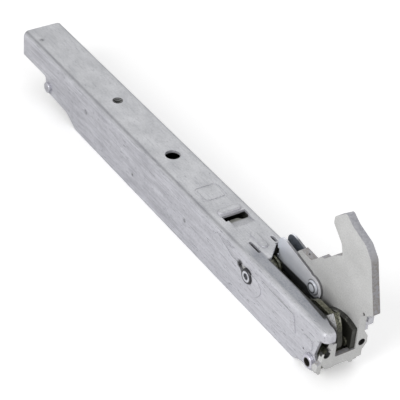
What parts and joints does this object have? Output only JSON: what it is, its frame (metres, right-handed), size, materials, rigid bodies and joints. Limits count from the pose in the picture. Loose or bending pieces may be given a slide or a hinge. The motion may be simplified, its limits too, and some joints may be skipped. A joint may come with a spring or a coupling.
{
  "type": "oven door hinge",
  "caption": "Oven door hinge: long pressed channel case with a hooked claw and safety latch at its near end, and a coil spring, pull bar and roller inside.",
  "frame": {"origin": "centre of the mouth of the threaded hole, on the outer face of the case's web", "axes": "+X along the case towards the claw, +Y across it towards the claw's side, +Z out of the web"},
  "size_m": [0.2242, 0.0227, 0.0591],
  "materials": {
    "case_steel": "satin galvanised sheet with drawn streaks",
    "claw_steel": "matt zinc plate with fine speckle",
    "latch_steel": "smooth zinc plate",
    "pin_steel": "bright plated",
    "inner_steel": "greased",
    "spring_steel": "oiled spring wire"
  },
  "bodies": {
    "housing": {"case": "case_steel", "main_pivot_pin": "pin_steel", "pivot_washer_left": "pin_steel", "pivot_washer_right": "pin_steel", "pivot_bush": "inner_steel", "roller_axle": "pin_steel", "axle_sleeve_left": "inner_steel", "axle_sleeve_right": "inner_steel", "anchor_pin": "pin_steel", "anchor_sleeve_left": "inner_steel", "anchor_sleeve_right": "inner_steel", "spring_plug_rear": "inner_steel", "spring": "spring_steel"},
    "claw": {"claw_lever": "claw_steel", "cam_plate": "inner_steel", "crank_plate": "inner_steel", "pivot_spacer": "inner_steel", "crank_pin": "pin_steel", "crank_bush": "inner_steel", "tie_rivet": "pin_steel", "latch_rivet": "pin_steel"},
    "latch": {"latch": "latch_steel"},
    "pull": {"pull_bar": "inner_steel", "link_pin": "inner_steel", "spring_plug_front": "inner_steel"},
    "roller": {"guide_roller": "inner_steel"}
  },
  "joints": [
    {"name": "claw_turn", "type": "hinge", "parent": "housing", "child": "claw", "pos_m": [0.1479, 0, -0.0166], "axis": [0, 1, 0], "range_deg": [0, 90], "stiffness_Nm_per_rad": 0.4, "springref_deg": -11.46},
    {"name": "latch_turn", "type": "hinge", "parent": "claw", "child": "latch", "pos_m": [0.1295, 0, -0.0024], "axis": [0, 1, 0], "range_deg": [0, 104]},
    {"name": "pull_slide", "type": "slide", "parent": "housing", "child": "pull", "axis": [1, 0, 0], "range_m": [0, 0.0128], "deforming": ["spring"]},
    {"name": "roller_turn", "type": "hinge", "parent": "housing", "child": "roller", "pos_m": [0.1082, 0, -0.008], "axis": [0, 1, 0], "range_deg": [-210, 0]}
  ],
  "couplings": [
    {"joint": "pull_slide", "follows": "claw_turn", "m_per_rad": 0.0081028},
    {"joint": "roller_turn", "follows": "claw_turn", "ratio": -2.2508}
  ]
}
